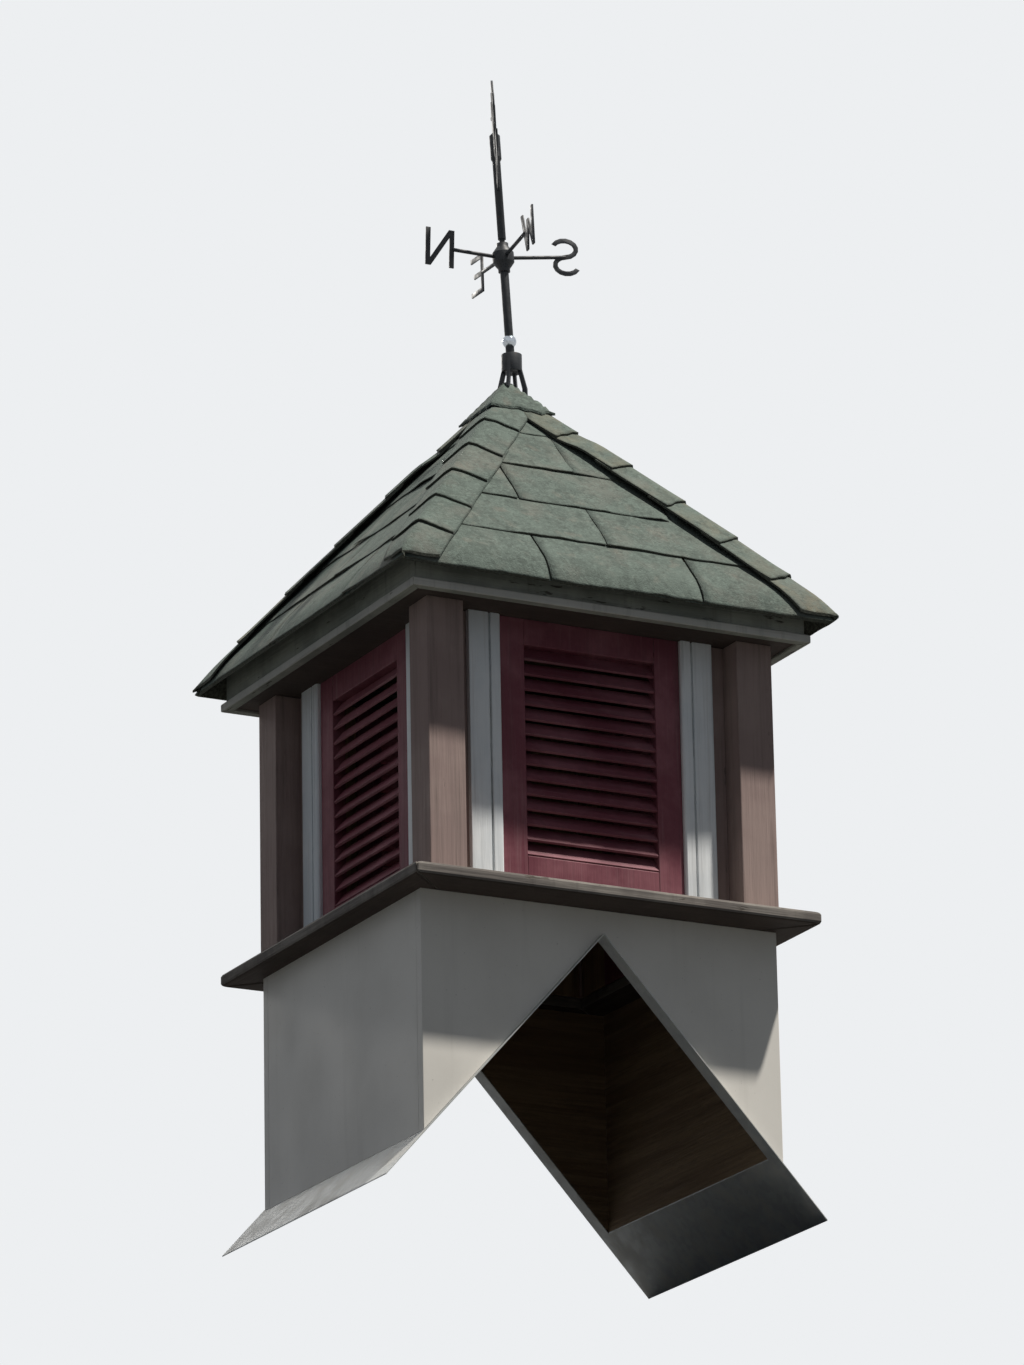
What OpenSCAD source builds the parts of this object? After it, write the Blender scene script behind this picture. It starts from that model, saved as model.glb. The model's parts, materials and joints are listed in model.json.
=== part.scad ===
// Louvred cupola that straddles the ridge of a garage roof, with a weather vane.
// X runs across the ridge, Y along it, and Z is up. The origin is under the
// centre, at the level of the apron lips. All lengths are in millimetres.

/* [Roof below] */
// Pitch of the roof that the base straddles, in degrees
saddle_pitch = 47.6; // [40:0.1:55]

/* [Base] */
// Width of the base across the ridge
base_w = 702; // [660:1:760]
// Depth of the base along the ridge
base_d = 634; // [600:1:700]
// Thickness of the base panels
base_t = 19; // [12:1:30]
// Height of the front panel above the ridge
neck_h = 47; // [30:1:120]

/* [Flashing] */
// Thickness of the flashing sheet
flashing_t = 1.5; // [1:0.1:3]
// How far the aprons reach past the side walls, level
apron_out = 78; // [40:1:100]
// How far the front and back flashings show past the panels
step_out = 12; // [6:1:40]

/* [Shelf] */
// How far the shelf reaches past the sides of the base
shelf_out = 48; // [30:1:70]
// Thickness of the shelf boards
shelf_t = 22; // [16:1:32]

/* [Louvred storey] */
// Width of the shelf in front of the corner posts
shelf_ledge = 55.5; // [40:0.5:75]
// Height from the shelf to the soffit
storey_h = 503; // [440:1:600]
// Width of a corner post, square
post_w = 71; // [60:1:90]
// Depth of the brown wall boards behind the face of the posts
wall_recess = 50; // [40:1:55]
// Thickness of the wall boards
wall_t = 19; // [12:1:21]

/* [Louvres] */
// Width of a louvre over its stiles
louvre_w = 360; // [320:1:400]
// Depth of the louvre frame behind the face of the posts
louvre_recess = 46; // [40:1:48]
// Thickness of the louvre frame
louvre_t = 25; // [22:1:30]
// Width of a stile
stile_w = 50; // [35:1:70]
// Height of the bottom rail
bottom_rail_h = 68; // [50:1:90]
// Height of the top rail
top_rail_h = 48; // [35:1:80]
// Distance from slat to slat
slat_pitch = 27; // [24:1:40]
// Width of a slat along its slope
slat_w = 28; // [22:1:28]
// Thickness of a slat
slat_t = 6; // [4:0.5:8]
// Slope of the slats, in degrees
slat_slope = 42; // [35:1:46]

/* [White trim] */
// Width of one trim strip
trim_w = 63; // [50:1:70]
// Thickness of the trim
trim_t = 12; // [10:1:18]
// Width of the narrow moulding at the inner side of the trim
trim_bead_w = 20; // [12:1:26]
// Width of the groove beside that moulding
trim_groove_w = 4; // [2:0.5:6]
// Depth of that groove
trim_groove_d = 6; // [3:0.5:8]
// Width of the bevel along the inner moulding
trim_edge = 3; // [1:0.5:4]

/* [Eaves] */
// How far the fascia stands out from the corner posts
fascia_out = 52.5; // [35:0.5:65]
// Thickness of the fascia boards
fascia_t = 19; // [15:1:25]
// How far the fascia hangs below the soffit
fascia_drop = 4; // [0:1:15]
// Height of the drip moulding along the foot of the fascia
drip_h = 18; // [12:1:30]
// How far that moulding stands out from the fascia
drip_out = 8; // [4:1:14]
// Thickness of the soffit
soffit_t = 12; // [8:1:18]

/* [Roof] */
// How far the edge of the shingles reaches past the fascia
eave_out = 42.5; // [30:0.5:60]
// Height of the shingle edge above the soffit
eave_h = 41; // [34:1:50]
// Rise from the shingle edge to the apex
roof_rise = 518; // [440:1:600]
// Thickness of the roof boards
deck_t = 12; // [9:0.5:14]
// How far the shingles overhang the roof boards
shingle_out = 15; // [5:1:20]
// Height of each shingle course along the slope
course_h = 127; // [110:1:150]
// Thickness of one layer of shingles
shingle_t = 4; // [3:0.5:5]

/* [Hip caps] */
// Reach of a hip cap to each side of its hip
cap_reach = 70; // [60:1:150]
// Thickness of a hip cap
cap_t = 4; // [3:0.5:5]
// How far the weathered front right caps stand up at mid height
cap_lift = 8; // [0:1:40]
// Half the width of the cap over the apex
apex_cap_w = 66; // [50:1:100]
// How far the highest hip caps reach under it
apex_cap_lap = 20; // [10:1:40]
// Thickness of that cap
apex_cap_t = 3; // [2:0.5:5]

/* [Vane mount] */
// Distance of the mount from the apex, towards the right side
mount_x = 12; // [0:1:20]
// Outer radius of the collar that holds the mast
collar_r = 19; // [16:0.5:24]
// Height of the collar
collar_h = 34; // [24:1:40]
// Height of the collar's foot above the apex cap
collar_z = 12; // [8:1:24]
// Level reach of the legs from the middle of the collar
leg_reach = 29; // [24:1:36]
// Width of a leg across its reach
leg_w = 9; // [7:0.5:10]
// Thickness of a leg
leg_t = 6; // [4:0.5:8]

/* [Mast] */
// Lean of the mast towards the left side, in degrees
mast_lean = 3.2; // [0:0.1:5]
// Radius of the mast
mast_r = 8; // [7:0.5:10]
// Height of the ball above the apex cap
ball_z = 72; // [64:1:90]
// Radius of the ball
ball_r = 13; // [11:0.5:18]
// Height of the compass hub above the apex cap
hub_z = 236; // [215:1:280]
// Largest radius of the compass hub
hub_r = 20; // [18:0.5:24]
// Height of the compass hub
hub_h = 56; // [44:1:64]
// Wall of the hub round the mast
hub_wall = 3; // [2:0.5:5]

/* [Compass] */
// Radius of the compass rods
rod_r = 3.5; // [2.5:0.5:5]
// Distance of a letter's middle from the mast
letter_at = 126; // [115:1:180]
// Height of the letters
letter_h = 74; // [60:1:90]
// Width of the letters
letter_w = 56; // [44:1:64]
// Width of a letter's stroke
letter_stroke = 9; // [7:0.5:12]
// Thickness of the letters
letter_t = 3; // [2:0.5:5]
// Upward slope of the compass rods, in degrees
rod_rise = 5; // [0:0.5:8]
// Direction in which the rods are turned from the ridge's square, in degrees
compass_turn = -5; // [-15:1:15]

/* [Vane] */
// Radius of the spindle that the vane turns on
spindle_r = 5; // [4:0.5:5.5]
// Radial running clearance of the spindle
spindle_gap = 0.05; // [0.02:0.01:0.1]
// Outer radius of the vane's sleeve
sleeve_r = 7.5; // [7:0.5:9]
// Gap between the compass hub and the sleeve
sleeve_gap = 8; // [5:1:15]
// Height of the sleeve
sleeve_h = 210; // [190:1:260]
// Radius of the boss at the top of the sleeve
boss_r = 10; // [9:0.5:13]
// Height of that boss
boss_h = 56; // [40:1:70]
// Bevel at the ends of that boss
boss_edge = 5; // [3:0.5:6]
// Closed length at the top of the sleeve
sleeve_cap = 8; // [5:1:12]
// Thickness of the vane's plate
plate_t = 4; // [3:0.5:6]
// Height of the arrow above the foot of the sleeve
arrow_z = 100; // [80:1:120]
// Reach of the arrow to each side of the sleeve
arrow_reach = 240; // [215:1:280]
// Height of the arrow's shaft
arrow_shaft_h = 12; // [8:1:16]
// Length of the arrow's head
arrow_head_l = 58; // [45:1:70]
// Length of the arrow's tail
arrow_tail_l = 62; // [45:1:75]
// Height of the head and the tail
arrow_wide = 54; // [40:1:64]
// Depth of their notches
arrow_notch = 14; // [8:1:18]
// Height of the top of the figure above the foot of the sleeve
figure_top = 300; // [280:1:340]
// Direction in which the vane points at rest, in degrees from X
vane_heading = 62.4; // [0:0.1:360]

/* [Hidden] */
$fn = 48;

cream = [0.85, 0.81, 0.75];
zinc = [0.72, 0.73, 0.72];
weathered = [0.55, 0.53, 0.48];
brown = [0.35, 0.27, 0.25];
maroon = [0.43, 0.13, 0.17];
white = [0.93, 0.94, 0.93];
shingle = [0.42, 0.47, 0.41];
iron = [0.12, 0.13, 0.15];
polished = [0.75, 0.8, 0.88];

far = 2000;
saddle_slope = tan(saddle_pitch);
ridge_z = round((base_w / 2 + apron_out) * saddle_slope);
sheet_rise = flashing_t / cos(saddle_pitch);

shelf_w = base_w + 2 * shelf_out;
shelf_z = ridge_z + neck_h;
floor_z = shelf_z + shelf_t;
storey_w = shelf_w - 2 * shelf_ledge;
storey_in = storey_w - 2 * post_w;
soffit_z = floor_z + storey_h;

fascia_w = storey_w + 2 * fascia_out;
eave_w = fascia_w + 2 * eave_out;
eave_z = soffit_z + eave_h;
roof_z = eave_z + roof_rise;
roof_slope = 2 * roof_rise / eave_w;
roof_pitch = atan(roof_slope);
shingle_rise = 2 * shingle_t / cos(roof_pitch);
deck_rise = shingle_rise + deck_t / cos(roof_pitch);
slope_l = eave_w / 2 / cos(roof_pitch);
courses = ceil(slope_l / course_h);

hip_pitch = atan(roof_slope / sqrt(2));
hip_l = eave_w / sqrt(2) / cos(hip_pitch);
cap_fold = acos(sin(hip_pitch) * sin(roof_pitch) / sqrt(2) + cos(hip_pitch) * cos(roof_pitch));
caps = floor(hip_l / course_h);
swell_l = hip_l - (apex_cap_w * sqrt(2) + apex_cap_lap) / cos(hip_pitch);
caps_rise = 2 * cap_t / cos(roof_pitch);
apex_rise = caps_rise + apex_cap_t / cos(roof_pitch);
apex_z = roof_z + apex_rise;

spindle_z = hub_z + hub_h / 2;
sleeve_z = spindle_z + sleeve_gap;
seat_gap = 0.3;
bed_gap = 0.02;

// Helpers: sides, prisms and the two pitched bodies

// Turns what is drawn for the front side to another side
module side(name) {
    turn = name == "front" ? 0 : name == "right" ? 90 : name == "back" ? 180 : 270;
    rotate([0, 0, turn]) children();
}

// Prism whose outline is drawn in X and Z, from one Y to another
module prism_y(y0, y1) {
    translate([0, y1, 0]) rotate([90, 0, 0]) linear_extrude(y1 - y0) children();
}

// Prism along the front side, whose outline is drawn outwards and in Z
module along_front() {
    rotate([0, 0, -90]) prism_y(-far, far) children();
}

// Everything above the roof that the base straddles, raised by a thickness
module above_saddle(rise) {
    top = ridge_z + rise;
    prism_y(-far, far)
        polygon([[0, top], [far, top - far * saddle_slope], [far, far], [-far, far],
            [-far, top - far * saddle_slope]]);
}

// The quarter of the plan on the front side, cut off along the diagonals
module front_quarter(low, high) {
    translate([0, 0, low]) linear_extrude(high - low)
        polygon([[0, 0], [-far, -far], [far, -far]]);
}

// One board of a square ring with mitred corners, on the front side
module mitred_board(outer, inner, low, high) {
    translate([0, 0, low]) linear_extrude(high - low)
        polygon([[-outer / 2, -outer / 2], [outer / 2, -outer / 2],
            [inner / 2, -inner / 2], [-inner / 2, -inner / 2]]);
}

// The space below the roof planes, lowered by a height
module below_roof(drop) {
    peak = roof_z - drop;
    outline = [[0, peak], [far, peak - far * roof_slope], [far, -far], [-far, -far],
        [-far, peak - far * roof_slope]];
    intersection() {
        prism_y(-far, far) polygon(outline);
        rotate([0, 0, 90]) prism_y(-far, far) polygon(outline);
    }
}

// Base and flashing

module base_panel() {
    color(cream)
        intersection() {
            translate([-base_w / 2, -base_d / 2, 0]) cube([base_w, base_t, shelf_z]);
            above_saddle(sheet_rise);
        }
}

module base_side() {
    depth = base_d - 2 * base_t;
    color(cream)
        intersection() {
            translate([-base_w / 2, -depth / 2, 0]) cube([base_t, depth, shelf_z]);
            above_saddle(sheet_rise);
        }
}

// Bent sheet that lies on the slopes and shows past the front panel
module step_flashing() {
    reach = base_w / 2;
    color(zinc)
        intersection() {
            prism_y(-base_d / 2 - step_out, -base_d / 2 + base_t)
                polygon([[0, ridge_z + sheet_rise], [reach, ridge_z + sheet_rise - reach * saddle_slope],
                    [reach, ridge_z - reach * saddle_slope], [0, ridge_z],
                    [-reach, ridge_z - reach * saddle_slope],
                    [-reach, ridge_z + sheet_rise - reach * saddle_slope]]);
            translate([-far, -far, 0]) cube([2 * far, 2 * far, far]);
        }
}

// Sheet under a side wall, down the slope to its lip
module apron() {
    inner = base_w / 2 - base_t;
    outer = ridge_z / saddle_slope;
    depth = base_d - 2 * base_t;
    lip = base_d / 2 + step_out;
    color(zinc)
        difference() {
            prism_y(-lip, lip)
                polygon([[-outer, 0], [-inner, ridge_z - inner * saddle_slope],
                    [-inner, ridge_z + sheet_rise - inner * saddle_slope], [-outer, sheet_rise]]);
            for (end = [-1, 1])
                translate([-base_w / 2, end > 0 ? depth / 2 : -far - depth / 2, -far])
                    cube([base_w, far, 2 * far]);
        }
}

// One board of the shelf, on the front side
module shelf_board() {
    color(weathered) mitred_board(shelf_w, storey_in, shelf_z, floor_z);
}

// Louvred storey

module post() {
    color(brown)
        translate([-storey_w / 2, -storey_w / 2, floor_z]) cube([post_w, post_w, storey_h]);
}

// Two brown boards between the posts and the louvre
module wall_boards() {
    board = (storey_in - louvre_w) / 2;
    color(brown)
        for (x = [-storey_in / 2, storey_in / 2 - board])
            translate([x, -storey_w / 2 + wall_recess, floor_z]) cube([board, wall_t, storey_h]);
}

// White strip with a groove beside its inner moulding
module trim_strip() {
    flat = trim_w - trim_bead_w - trim_groove_w;
    translate([0, 0, floor_z]) linear_extrude(storey_h)
        polygon([[0, 0], [0, -trim_t], [flat, -trim_t], [flat, -trim_t + trim_groove_d],
            [flat + trim_groove_w, -trim_t + trim_groove_d], [flat + trim_groove_w, -trim_t],
            [trim_w - trim_edge, -trim_t], [trim_w, -trim_t + trim_edge], [trim_w, 0]]);
}

module trim_pair() {
    color(white)
        for (hand = [0, 1])
            mirror([hand, 0, 0])
                translate([-louvre_w / 2 - trim_w, -storey_w / 2 + wall_recess, 0]) trim_strip();
}

// Slats between the stiles, each lower at its outer edge
module slats() {
    space = storey_h - bottom_rail_h - top_rail_h;
    count = floor(space / slat_pitch);
    first = floor_z + bottom_rail_h + (space - (count - 1) * slat_pitch) / 2;
    for (i = [0 : count - 1])
        translate([-louvre_w / 2 + stile_w, 0, first + i * slat_pitch])
            rotate([slat_slope, 0, 0])
                translate([0, -slat_w / 2, -slat_t / 2]) cube([louvre_w - 2 * stile_w, slat_w, slat_t]);
}

module louvre() {
    color(maroon)
        translate([0, -storey_w / 2 + louvre_recess + louvre_t / 2, 0]) {
            difference() {
                translate([-louvre_w / 2, -louvre_t / 2, floor_z]) cube([louvre_w, louvre_t, storey_h]);
                translate([-louvre_w / 2 + stile_w, -louvre_t, floor_z + bottom_rail_h])
                    cube([louvre_w - 2 * stile_w, 2 * louvre_t, storey_h - bottom_rail_h - top_rail_h]);
            }
            slats();
        }
}

// Eaves and roof

module soffit() {
    outer = fascia_w - 2 * fascia_t;
    color(weathered)
        translate([0, 0, soffit_z])
            difference() {
                translate([-outer / 2, -outer / 2, 0]) cube([outer, outer, soffit_t]);
                translate([-storey_in / 2, -storey_in / 2, -1]) cube([storey_in, storey_in, soffit_t + 2]);
            }
}

// Board with a drip moulding along its foot, on the front side
module fascia() {
    face = fascia_w / 2;
    foot = soffit_z - fascia_drop;
    color(weathered)
        intersection() {
            along_front() polygon([[face - fascia_t, foot], [face, foot], [face, foot + drip_h - drip_out / 2],
                [face - drip_out, foot + drip_h], [face - drip_out, roof_z], [face - fascia_t, roof_z]]);
            front_quarter(foot, roof_z);
            below_roof(deck_rise + bed_gap);
        }
}

// Section of one slope: boards, and courses that are two layers thick at their lower edges
function slope_section() = let (
        layer = shingle_t / cos(roof_pitch),
        run = course_h * cos(roof_pitch),
        foot = eave_w / 2,
        deck = foot - shingle_out,
        teeth = [for (i = [0 : courses - 1]) each [
            [foot - i * run, roof_z - (foot - i * run) * roof_slope],
            [foot - (i + 1) * run, roof_z - layer - (foot - (i + 1) * run) * roof_slope]]]
    ) concat([[-run, roof_z - deck_rise + run * roof_slope], [deck, roof_z - deck_rise - deck * roof_slope],
        [deck, roof_z - shingle_rise - deck * roof_slope],
        [foot, roof_z - shingle_rise - foot * roof_slope]], teeth, [[-run, roof_z + run * roof_slope]]);

// Boards and stepped courses of the front slope, mitred at the hips
module roof_slope_front() {
    color(shingle)
        intersection() {
            front_quarter(soffit_z, roof_z + far);
            along_front() polygon(slope_section());
        }
}

// How far a weathered run of caps stands off the roof, along its hip
function cap_swell(x, lift) = x < swell_l ? lift * sin(180 * x / swell_l) : 0;

// Side view of overlapping caps along a hip: flat or swollen below, stepped above
function cap_outline(lift) = let (
        top_l = hip_l + cap_reach,
        ends = [for (i = [0 : caps]) i * course_h],
        foot = lift > 0 ? ends : [0],
        steps = [for (i = [caps : -1 : 0]) each [
            [i < caps ? (i + 1) * course_h : top_l, cap_swell((i + 1) * course_h, lift) + cap_t],
            [i * course_h, cap_swell(i * course_h, lift) + 2 * cap_t]]]
    ) concat([for (x = foot) [x, cap_swell(x, lift)]], [[top_l, 0]], steps);

// The side of a run of caps that lies on one slope, with the hip along X
module cap_side(lift) {
    intersection() {
        rotate([-cap_fold, 0, 0]) prism_y(-cap_reach, cap_reach) polygon(cap_outline(lift));
        translate([-far, 0, -far]) cube([2 * far, far, 2 * far]);
    }
}

// Folded caps on the front left hip, standing up by a lift at mid height
module hip_run(lift) {
    color(shingle)
        intersection() {
            translate([-eave_w / 2, -eave_w / 2, eave_z]) rotate([0, 0, 45]) rotate([0, -hip_pitch, 0]) {
                cap_side(lift);
                mirror([0, 1, 0]) cap_side(lift);
            }
            translate([-eave_w / 2, -eave_w / 2, soffit_z]) cube([eave_w / 2, eave_w / 2, far]);
        }
}

module apex_cap() {
    color(shingle)
        difference() {
            intersection() {
                below_roof(-apex_rise);
                translate([-apex_cap_w, -apex_cap_w, soffit_z])
                    cube([2 * apex_cap_w, 2 * apex_cap_w, far]);
            }
            below_roof(-caps_rise);
        }
}

// Weather vane

// What follows the leaning mast, measured from the top of the apex cap
module on_mast() {
    translate([mount_x, 0, apex_z]) rotate([0, -mast_lean, 0]) children();
}

// Collar on four legs that stand on the apex cap
module vane_mount() {
    deep = (mount_x + leg_reach) * roof_slope;
    inner = leg_reach - leg_w;
    top = collar_z + leg_w;
    color(iron)
        difference() {
            union() {
                translate([mount_x, 0, apex_z + collar_z]) cylinder(r = collar_r, h = collar_h);
                for (turn = [45 : 90 : 315])
                    translate([mount_x, 0, apex_z]) rotate([0, 0, turn]) rotate([90, 0, 0])
                        translate([0, 0, -leg_t / 2]) linear_extrude(leg_t)
                            polygon([[inner, -deep], [leg_reach, -deep], [leg_reach, leg_t - leg_reach],
                                [collar_r - 1, top], [collar_r - leg_w, top],
                                [inner, leg_t - leg_reach]]);
            }
            on_mast() translate([0, 0, -collar_h]) cylinder(r = mast_r, h = far);
            below_roof(-apex_rise);
        }
}

module mast() {
    spindle_top = sleeve_z + sleeve_h - sleeve_cap - seat_gap;
    color(iron)
        on_mast() {
            translate([0, 0, collar_z]) cylinder(r = mast_r, h = spindle_z - collar_z);
            translate([0, 0, collar_z + 1]) cylinder(r = spindle_r, h = spindle_top - collar_z - 1);
        }
}

module mast_ball() {
    color(polished)
        on_mast() translate([0, 0, ball_z])
            difference() {
                sphere(r = ball_r);
                cylinder(r = mast_r, h = 4 * ball_r, center = true);
            }
}

// Turned hub, bored for the mast and for the two rods
module compass_hub() {
    end = hub_h / 2;
    collar = hub_h / 9;
    belt = hub_h / 6;
    neck = mast_r + hub_wall;
    color(iron)
        on_mast() difference() {
            translate([0, 0, hub_z]) rotate_extrude()
                polygon([[0, -end], [neck, -end], [neck, collar - end], [hub_r, -belt], [hub_r, belt],
                    [neck, end - collar], [neck, end], [0, end]]);
            cylinder(r = mast_r, h = far);
            for (turn = [0 : 90 : 270]) compass_arm(turn) rod(0);
        }
}

// What one arm of the compass carries, drawn along X from the hub's centre
module compass_arm(turn) {
    translate([0, 0, hub_z]) rotate([0, 0, turn + compass_turn]) rotate([0, -rod_rise, 0]) children();
}

// The rod of one arm, from the mast to some way into the letter
module rod(sink) {
    start = mast_r + 1;
    translate([start, 0, 0]) rotate([0, 90, 0])
        cylinder(r = rod_r, h = letter_at - letter_w / 2 + sink - start);
}

// Points on an arc of an ellipse in the plane of a letter
function arc(mid_z, rx, rz, from, to) =
    [for (i = [0 : 10]) let (a = from + (to - from) * i / 10) [rx * cos(a), mid_z + rz * sin(a)]];

module letter_n() {
    half = letter_w / 2;
    top = letter_h / 2;
    for (x = [-half, half - letter_stroke])
        translate([x, -top]) square([letter_stroke, letter_h]);
    polygon([[half, -top], [half - 1.2 * letter_stroke, -top], [-half, top],
        [-half + 1.2 * letter_stroke, top]]);
}

module letter_e() {
    half = letter_w / 2;
    top = letter_h / 2;
    translate([-half, -top]) square([letter_stroke, letter_h]);
    for (z = [-top, top - letter_stroke])
        translate([-half, z]) square([letter_w, letter_stroke]);
    translate([-half, -letter_stroke / 2]) square([0.75 * letter_w, letter_stroke]);
}

module letter_s() {
    rx = letter_w / 2 - letter_stroke / 2;
    rz = (letter_h - letter_stroke) / 4;
    b = letter_stroke / 2;
    hook = 60;
    polygon(concat(arc(rz, rx + b, rz + b, 90 + hook, -90), arc(-rz, rx - b, rz - b, 90, 270 + hook),
        arc(-rz, rx + b, rz + b, 270 + hook, 90), arc(rz, rx - b, rz - b, -90, 90 + hook)));
}

module letter_w() {
    half = letter_w / 2;
    top = letter_h / 2;
    inner = 0.55 * top;
    bar = letter_stroke;
    for (hand = [0, 1])
        mirror([hand, 0]) {
            polygon([[-half, top], [-half + bar, top], [-half / 2 + bar / 2, -top],
                [-half / 2 - bar / 2, -top]]);
            polygon([[-half / 2 - bar / 2, -top], [-half / 2 + bar / 2, -top], [bar / 2, inner],
                [-bar / 2, inner]]);
        }
}

// One arm with its flat letter, and the rod that runs some way into it
module lettered_arm(turn, sink) {
    compass_arm(turn) {
        rod(sink);
        translate([letter_at, letter_t / 2, 0]) rotate([90, 0, 0]) linear_extrude(letter_t) children();
    }
}

module compass_rod_ns() {
    color(iron)
        on_mast() {
            lettered_arm(180, 3) letter_n();
            lettered_arm(0, letter_w / 2) letter_s();
        }
}

module compass_rod_ew() {
    color(iron)
        on_mast() {
            lettered_arm(90, 3) letter_e();
            lettered_arm(270, letter_w / 6) letter_w();
        }
}

// Sleeve with a turned boss, closed at the top, that turns on the spindle
module vane_sleeve() {
    color(iron)
        on_mast() translate([0, 0, sleeve_z]) difference() {
            rotate_extrude()
                polygon([[0, 0], [sleeve_r, 0], [sleeve_r, sleeve_h - boss_h],
                    [boss_r, sleeve_h - boss_h + boss_edge], [boss_r, sleeve_h - boss_edge],
                    [boss_r - boss_edge, sleeve_h], [0, sleeve_h]]);
            translate([0, 0, -1])
                cylinder(r = spindle_r + spindle_gap, h = sleeve_h - sleeve_cap + 1);
        }
}

// Points of a smooth closed curve through the points of an outline
function curve(points, steps) = let (n = len(points)) [
    for (i = [0 : n - 1], k = [0 : steps - 1]) let (
        t = k / steps,
        a = points[(i + n - 1) % n], b = points[i], c = points[(i + 1) % n], d = points[(i + 2) % n]
    ) 0.5 * (2 * b + (c - a) * t + (2 * a - 5 * b + 4 * c - d) * t * t
        + (3 * b - a - 3 * c + d) * t * t * t)];

// Cockerel in the size of a unit square, with its feet at 0 and its comb at 1
cockerel = [[-0.12, 0], [0.14, 0], [0.08, 0.12], [0.22, 0.2], [0.36, 0.35], [0.4, 0.52],
    [0.4, 0.68], [0.56, 0.78], [0.46, 0.85], [0.47, 0.95], [0.36, 1], [0.26, 0.93],
    [0.19, 0.76], [0.06, 0.62], [-0.12, 0.58], [-0.24, 0.7], [-0.38, 0.88], [-0.58, 0.84],
    [-0.7, 0.62], [-0.66, 0.36], [-0.56, 0.5], [-0.44, 0.3], [-0.26, 0.2], [-0.08, 0.12]];

module figure_outline() {
    foot = arrow_z + arrow_shaft_h / 4;
    size = figure_top - foot;
    translate([0, foot]) polygon(size * curve(cockerel, 4));
}

module arrow_outline() {
    half = arrow_shaft_h / 2;
    wide = arrow_wide / 2;
    neck = arrow_reach - arrow_head_l;
    barb = arrow_reach - arrow_tail_l;
    translate([0, arrow_z]) {
        translate([-arrow_reach + arrow_notch, -half])
            square([2 * arrow_reach - arrow_notch - arrow_head_l / 2, 2 * half]);
        polygon([[arrow_reach, 0], [neck, wide], [neck + arrow_notch, 0], [neck, -wide]]);
        polygon([[arrow_notch - arrow_reach, 0], [-arrow_reach, -wide], [-barb - arrow_notch, -wide],
            [-barb, 0], [-barb - arrow_notch, wide], [-arrow_reach, wide]]);
    }
}

// Flat plate with the arrow and the cockerel, slotted over the sleeve and its boss
module vane_plate() {
    color(iron)
        on_mast() translate([0, 0, sleeve_z]) rotate([0, 0, vane_heading]) rotate([90, 0, 0])
            translate([0, 0, -plate_t / 2]) linear_extrude(plate_t)
                difference() {
                    union() {
                        arrow_outline();
                        figure_outline();
                    }
                    translate([-sleeve_r, 0]) square([2 * sleeve_r, sleeve_h - boss_h]);
                    translate([-boss_r, sleeve_h - boss_h]) square([2 * boss_r, boss_h]);
                }
}

base_panel();  // base_front
side("back") base_panel();  // base_back
base_side();  // base_left
side("back") base_side();  // base_right
step_flashing();  // flashing_front
side("back") step_flashing();  // flashing_back
apron();  // apron_left
side("back") apron();  // apron_right
shelf_board();  // shelf_front
side("back") shelf_board();  // shelf_back
side("left") shelf_board();  // shelf_left
side("right") shelf_board();  // shelf_right
post();  // post_front_left
side("right") post();  // post_front_right
side("back") post();  // post_back_right
side("left") post();  // post_back_left
wall_boards();  // wall_front
side("back") wall_boards();  // wall_back
side("left") wall_boards();  // wall_left
side("right") wall_boards();  // wall_right
louvre();  // louvre_front
side("back") louvre();  // louvre_back
side("left") louvre();  // louvre_left
side("right") louvre();  // louvre_right
trim_pair();  // trim_front
side("back") trim_pair();  // trim_back
side("left") trim_pair();  // trim_left
side("right") trim_pair();  // trim_right
soffit();
fascia();  // fascia_front
side("back") fascia();  // fascia_back
side("left") fascia();  // fascia_left
side("right") fascia();  // fascia_right
roof_slope_front();  // roof_front
side("back") roof_slope_front();  // roof_back
side("left") roof_slope_front();  // roof_left
side("right") roof_slope_front();  // roof_right
hip_run(0);  // hip_caps_front_left
side("right") hip_run(cap_lift);  // hip_caps_front_right
side("back") hip_run(0);  // hip_caps_back_right
side("left") hip_run(0);  // hip_caps_back_left
apex_cap();
vane_mount();
mast();
mast_ball();
compass_hub();
compass_rod_ns();
compass_rod_ew();
vane_sleeve();
vane_plate();
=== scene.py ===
"""Looks of a louvred roof cupola with a weather vane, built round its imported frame.

Lengths are in metres. X runs across the ridge that the cupola straddles, Y runs
along it to the back, and Z is up.
"""

import functools
import json
import math
import random

import bmesh
import bpy
from mathutils import Matrix, Vector, noise


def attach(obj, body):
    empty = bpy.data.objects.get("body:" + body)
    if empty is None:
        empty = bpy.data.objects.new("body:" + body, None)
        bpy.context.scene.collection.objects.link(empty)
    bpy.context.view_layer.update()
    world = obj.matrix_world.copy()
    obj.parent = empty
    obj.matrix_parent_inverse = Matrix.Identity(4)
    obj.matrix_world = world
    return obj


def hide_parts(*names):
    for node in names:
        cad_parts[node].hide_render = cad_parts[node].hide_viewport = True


bl_info = {
    "name": "Garage cupola",
    "version": (1, 0, 0),
    "blender": (4, 5, 0),
    "location": "View3D > Sidebar > Cupola",
    "description": "Boards, louvres, shingles and weather vane of a roof cupola",
    "category": "Object",
}

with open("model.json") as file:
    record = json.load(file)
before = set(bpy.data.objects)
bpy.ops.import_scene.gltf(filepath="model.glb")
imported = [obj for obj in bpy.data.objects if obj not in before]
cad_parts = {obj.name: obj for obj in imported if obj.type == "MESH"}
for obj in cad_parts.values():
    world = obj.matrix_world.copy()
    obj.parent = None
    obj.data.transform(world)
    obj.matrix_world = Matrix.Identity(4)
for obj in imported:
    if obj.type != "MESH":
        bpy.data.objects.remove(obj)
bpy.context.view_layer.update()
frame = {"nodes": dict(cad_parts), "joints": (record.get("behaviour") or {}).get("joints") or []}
NODES = frame["nodes"]

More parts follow.
